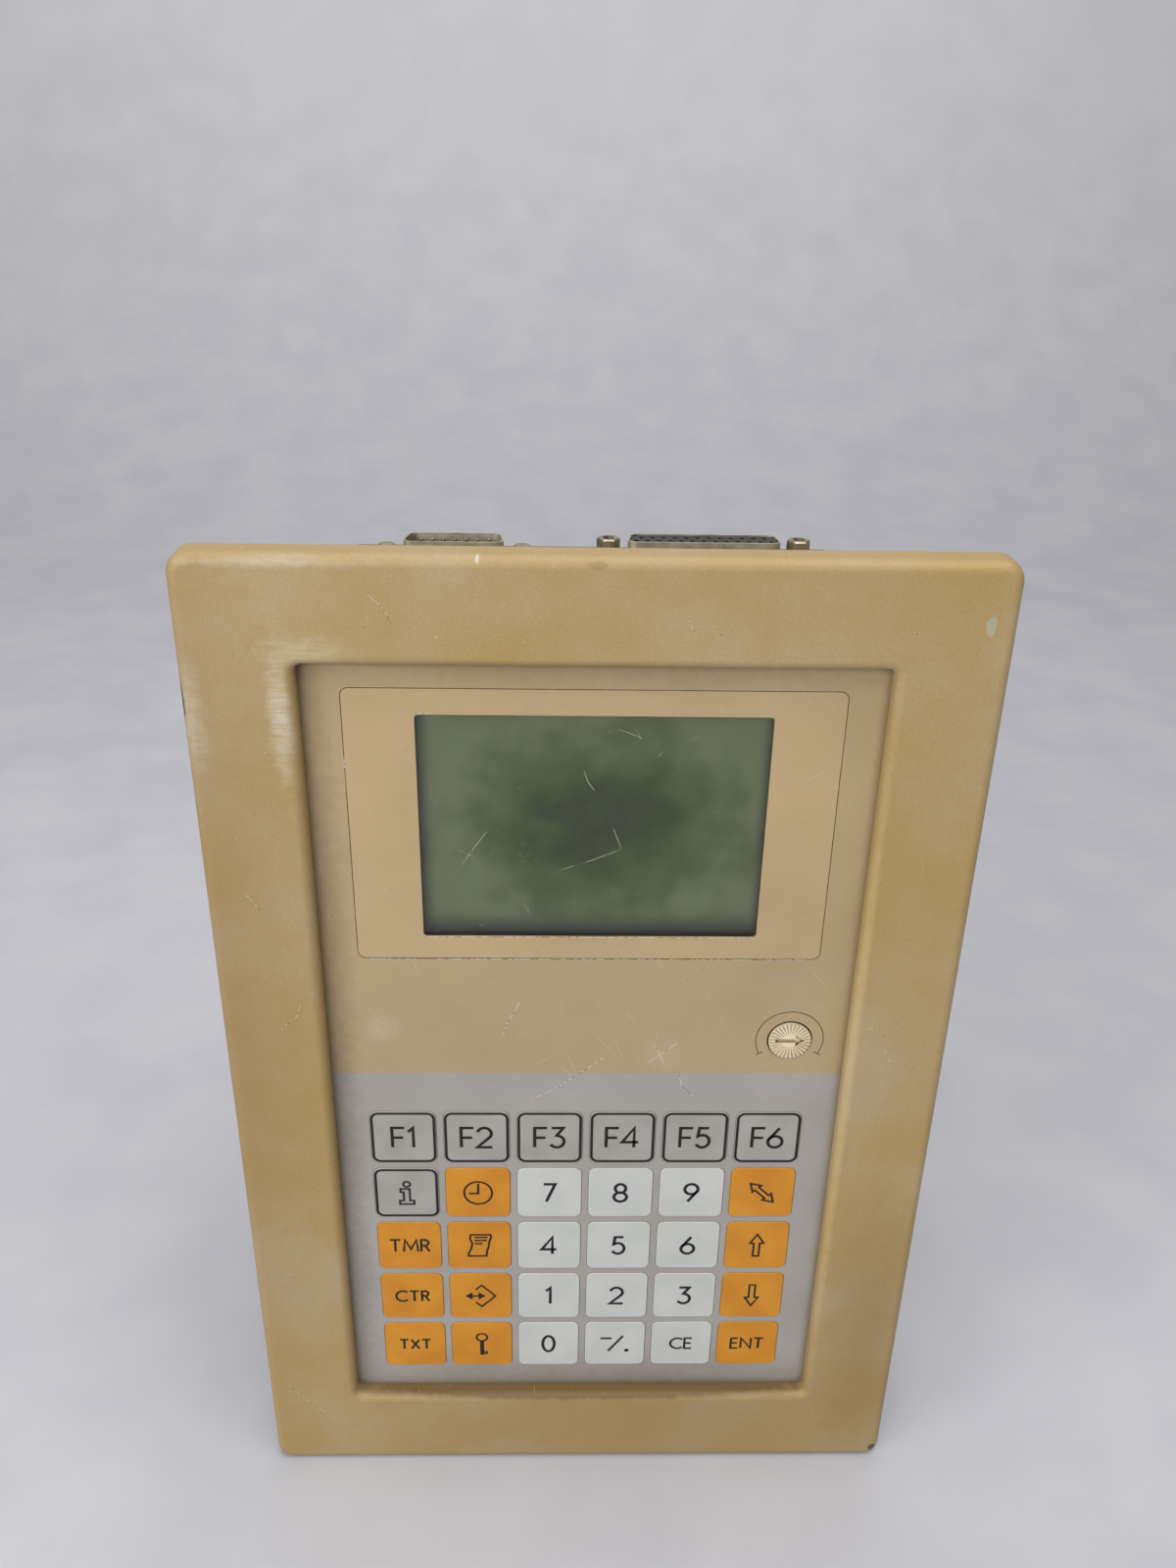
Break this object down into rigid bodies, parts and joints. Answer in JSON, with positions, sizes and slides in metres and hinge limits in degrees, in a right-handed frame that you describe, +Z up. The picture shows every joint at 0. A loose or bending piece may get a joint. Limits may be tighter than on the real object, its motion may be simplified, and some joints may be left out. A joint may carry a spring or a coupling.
{
  "type": "industrial operator panel",
  "caption": "Cabinet door operator panel: painted frame round a sunk foil with text display, contrast knob and push keys; sheet steel housing behind with connectors on top",
  "frame": {"origin": "centre of the frame's rear seating face, which is also the centre of the four corner studs", "axes": "+X right as seen by the operator, +Y into the cabinet, +Z up"},
  "size_m": [0.188, 0.058, 0.29],
  "materials": {
    "frame_paint": "worn satin paint",
    "seal_rubber": "foamed rubber",
    "stud_steel": "zinc plated",
    "carrier_moulding": "moulded",
    "foil_print": "fine grained foil, printed from behind",
    "insert_print": "fine grained foil, printed from behind",
    "window_pane": "clear, scratched",
    "knob_moulding": "aged cream moulding",
    "potentiometer_case": "moulded",
    "dome_steel": "stamped spring sheet",
    "board_laminate": "glass fibre laminate with solder mask",
    "bezel_steel": "blackened sheet",
    "lcd_cell": "grey-green liquid crystal cell",
    "backlight_acrylic": "milky light guide",
    "chip_moulding": "moulded epoxy",
    "can_aluminium": "drawn cans",
    "ribbon_jacket": "extruded flat cable",
    "screw_steel": "zinc plated",
    "housing_paint": "zinc plated and painted sheet steel",
    "shell_steel": "tinned sheet steel",
    "insulator_moulding": "glass filled moulding",
    "pin_brass": "gold flashed",
    "post_steel": "plated, turned",
    "terminal_moulding": "moulded block with steel clamps",
    "key_grey": "aged satin moulding",
    "key_white": "aged satin moulding",
    "key_orange": "aged satin moulding"
  },
  "bodies": {
    "panel": {"front_frame": "frame_paint", "panel_gasket": "seal_rubber", "mounting_studs": "stud_steel", "carrier_plate": "carrier_moulding", "front_foil": "foil_print", "display_insert": "insert_print", "display_window": "window_pane", "contrast_potentiometer": "potentiometer_case", "snap_domes": "dome_steel", "keypad_board": "board_laminate", "lcd_bezel": "bezel_steel", "lcd_glass": "lcd_cell", "lcd_backlight": "backlight_acrylic", "lcd_board": "board_laminate", "main_board": "board_laminate", "board_chips": "chip_moulding", "capacitors_and_battery": "can_aluminium", "ribbon_cables": "ribbon_jacket", "screws": "screw_steel", "housing_sides": "housing_paint", "housing_ends": "housing_paint", "rear_cover": "housing_paint", "data_socket_shell": "shell_steel", "data_socket_insert": "insulator_moulding", "service_plug_shell": "shell_steel", "service_plug_insert": "insulator_moulding", "service_plug_pins": "pin_brass", "connector_posts": "post_steel", "power_terminal": "terminal_moulding"},
    "knob": {"contrast_knob": "knob_moulding"},
    "button_f1": {"key_f1": "key_grey"},
    "button_f2": {"key_f2": "key_grey"},
    "button_f3": {"key_f3": "key_grey"},
    "button_f4": {"key_f4": "key_grey"},
    "button_f5": {"key_f5": "key_grey"},
    "button_f6": {"key_f6": "key_grey"},
    "button_info": {"key_info": "key_grey"},
    "button_clock": {"key_clock": "key_orange"},
    "button_7": {"key_7": "key_white"},
    "button_8": {"key_8": "key_white"},
    "button_9": {"key_9": "key_white"},
    "button_diagonal": {"key_diagonal": "key_orange"},
    "button_timer": {"key_timer": "key_orange"},
    "button_list": {"key_list": "key_orange"},
    "button_4": {"key_4": "key_white"},
    "button_5": {"key_5": "key_white"},
    "button_6": {"key_6": "key_white"},
    "button_up": {"key_up": "key_orange"},
    "button_counter": {"key_counter": "key_orange"},
    "button_transfer": {"key_transfer": "key_orange"},
    "button_1": {"key_1": "key_white"},
    "button_2": {"key_2": "key_white"},
    "button_3": {"key_3": "key_white"},
    "button_down": {"key_down": "key_orange"},
    "button_text": {"key_text": "key_orange"},
    "button_lock": {"key_lock": "key_orange"},
    "button_0": {"key_0": "key_white"},
    "button_sign_point": {"key_sign_point": "key_white"},
    "button_clear": {"key_clear": "key_white"},
    "button_enter": {"key_enter": "key_orange"}
  },
  "joints": [
    {"name": "contrast_turn", "type": "hinge", "parent": "panel", "child": "knob", "pos_m": [0.0533, -0.0024, 0.0132], "axis": [0, -1, 0], "range_deg": [-30, 210]},
    {"name": "press_f1", "type": "slide", "parent": "panel", "child": "button_f1", "axis": [0, 1, 0], "range_m": [0, 0.0006], "stiffness_N_per_m": 2000, "springref_m": -0.0002, "deforming": ["snap_domes"]},
    {"name": "press_f2", "type": "slide", "parent": "panel", "child": "button_f2", "axis": [0, 1, 0], "range_m": [0, 0.0006], "stiffness_N_per_m": 2000, "springref_m": -0.0002, "deforming": ["snap_domes"]},
    {"name": "press_f3", "type": "slide", "parent": "panel", "child": "button_f3", "axis": [0, 1, 0], "range_m": [0, 0.0006], "stiffness_N_per_m": 2000, "springref_m": -0.0002, "deforming": ["snap_domes"]},
    {"name": "press_f4", "type": "slide", "parent": "panel", "child": "button_f4", "axis": [0, 1, 0], "range_m": [0, 0.0006], "stiffness_N_per_m": 2000, "springref_m": -0.0002, "deforming": ["snap_domes"]},
    {"name": "press_f5", "type": "slide", "parent": "panel", "child": "button_f5", "axis": [0, 1, 0], "range_m": [0, 0.0006], "stiffness_N_per_m": 2000, "springref_m": -0.0002, "deforming": ["snap_domes"]},
    {"name": "press_f6", "type": "slide", "parent": "panel", "child": "button_f6", "axis": [0, 1, 0], "range_m": [0, 0.0006], "stiffness_N_per_m": 2000, "springref_m": -0.0002, "deforming": ["snap_domes"]},
    {"name": "press_info", "type": "slide", "parent": "panel", "child": "button_info", "axis": [0, 1, 0], "range_m": [0, 0.0006], "stiffness_N_per_m": 2000, "springref_m": -0.0002, "deforming": ["snap_domes"]},
    {"name": "press_clock", "type": "slide", "parent": "panel", "child": "button_clock", "axis": [0, 1, 0], "range_m": [0, 0.0006], "stiffness_N_per_m": 2000, "springref_m": -0.0002, "deforming": ["snap_domes"]},
    {"name": "press_7", "type": "slide", "parent": "panel", "child": "button_7", "axis": [0, 1, 0], "range_m": [0, 0.0006], "stiffness_N_per_m": 2000, "springref_m": -0.0002, "deforming": ["snap_domes"]},
    {"name": "press_8", "type": "slide", "parent": "panel", "child": "button_8", "axis": [0, 1, 0], "range_m": [0, 0.0006], "stiffness_N_per_m": 2000, "springref_m": -0.0002, "deforming": ["snap_domes"]},
    {"name": "press_9", "type": "slide", "parent": "panel", "child": "button_9", "axis": [0, 1, 0], "range_m": [0, 0.0006], "stiffness_N_per_m": 2000, "springref_m": -0.0002, "deforming": ["snap_domes"]},
    {"name": "press_diagonal", "type": "slide", "parent": "panel", "child": "button_diagonal", "axis": [0, 1, 0], "range_m": [0, 0.0006], "stiffness_N_per_m": 2000, "springref_m": -0.0002, "deforming": ["snap_domes"]},
    {"name": "press_timer", "type": "slide", "parent": "panel", "child": "button_timer", "axis": [0, 1, 0], "range_m": [0, 0.0006], "stiffness_N_per_m": 2000, "springref_m": -0.0002, "deforming": ["snap_domes"]},
    {"name": "press_list", "type": "slide", "parent": "panel", "child": "button_list", "axis": [0, 1, 0], "range_m": [0, 0.0006], "stiffness_N_per_m": 2000, "springref_m": -0.0002, "deforming": ["snap_domes"]},
    {"name": "press_4", "type": "slide", "parent": "panel", "child": "button_4", "axis": [0, 1, 0], "range_m": [0, 0.0006], "stiffness_N_per_m": 2000, "springref_m": -0.0002, "deforming": ["snap_domes"]},
    {"name": "press_5", "type": "slide", "parent": "panel", "child": "button_5", "axis": [0, 1, 0], "range_m": [0, 0.0006], "stiffness_N_per_m": 2000, "springref_m": -0.0002, "deforming": ["snap_domes"]},
    {"name": "press_6", "type": "slide", "parent": "panel", "child": "button_6", "axis": [0, 1, 0], "range_m": [0, 0.0006], "stiffness_N_per_m": 2000, "springref_m": -0.0002, "deforming": ["snap_domes"]},
    {"name": "press_up", "type": "slide", "parent": "panel", "child": "button_up", "axis": [0, 1, 0], "range_m": [0, 0.0006], "stiffness_N_per_m": 2000, "springref_m": -0.0002, "deforming": ["snap_domes"]},
    {"name": "press_counter", "type": "slide", "parent": "panel", "child": "button_counter", "axis": [0, 1, 0], "range_m": [0, 0.0006], "stiffness_N_per_m": 2000, "springref_m": -0.0002, "deforming": ["snap_domes"]},
    {"name": "press_transfer", "type": "slide", "parent": "panel", "child": "button_transfer", "axis": [0, 1, 0], "range_m": [0, 0.0006], "stiffness_N_per_m": 2000, "springref_m": -0.0002, "deforming": ["snap_domes"]},
    {"name": "press_1", "type": "slide", "parent": "panel", "child": "button_1", "axis": [0, 1, 0], "range_m": [0, 0.0006], "stiffness_N_per_m": 2000, "springref_m": -0.0002, "deforming": ["snap_domes"]},
    {"name": "press_2", "type": "slide", "parent": "panel", "child": "button_2", "axis": [0, 1, 0], "range_m": [0, 0.0006], "stiffness_N_per_m": 2000, "springref_m": -0.0002, "deforming": ["snap_domes"]},
    {"name": "press_3", "type": "slide", "parent": "panel", "child": "button_3", "axis": [0, 1, 0], "range_m": [0, 0.0006], "stiffness_N_per_m": 2000, "springref_m": -0.0002, "deforming": ["snap_domes"]},
    {"name": "press_down", "type": "slide", "parent": "panel", "child": "button_down", "axis": [0, 1, 0], "range_m": [0, 0.0006], "stiffness_N_per_m": 2000, "springref_m": -0.0002, "deforming": ["snap_domes"]},
    {"name": "press_text", "type": "slide", "parent": "panel", "child": "button_text", "axis": [0, 1, 0], "range_m": [0, 0.0006], "stiffness_N_per_m": 2000, "springref_m": -0.0002, "deforming": ["snap_domes"]},
    {"name": "press_lock", "type": "slide", "parent": "panel", "child": "button_lock", "axis": [0, 1, 0], "range_m": [0, 0.0006], "stiffness_N_per_m": 2000, "springref_m": -0.0002, "deforming": ["snap_domes"]},
    {"name": "press_0", "type": "slide", "parent": "panel", "child": "button_0", "axis": [0, 1, 0], "range_m": [0, 0.0006], "stiffness_N_per_m": 2000, "springref_m": -0.0002, "deforming": ["snap_domes"]},
    {"name": "press_sign_point", "type": "slide", "parent": "panel", "child": "button_sign_point", "axis": [0, 1, 0], "range_m": [0, 0.0006], "stiffness_N_per_m": 2000, "springref_m": -0.0002, "deforming": ["snap_domes"]},
    {"name": "press_clear", "type": "slide", "parent": "panel", "child": "button_clear", "axis": [0, 1, 0], "range_m": [0, 0.0006], "stiffness_N_per_m": 2000, "springref_m": -0.0002, "deforming": ["snap_domes"]},
    {"name": "press_enter", "type": "slide", "parent": "panel", "child": "button_enter", "axis": [0, 1, 0], "range_m": [0, 0.0006], "stiffness_N_per_m": 2000, "springref_m": -0.0002, "deforming": ["snap_domes"]}
  ]
}
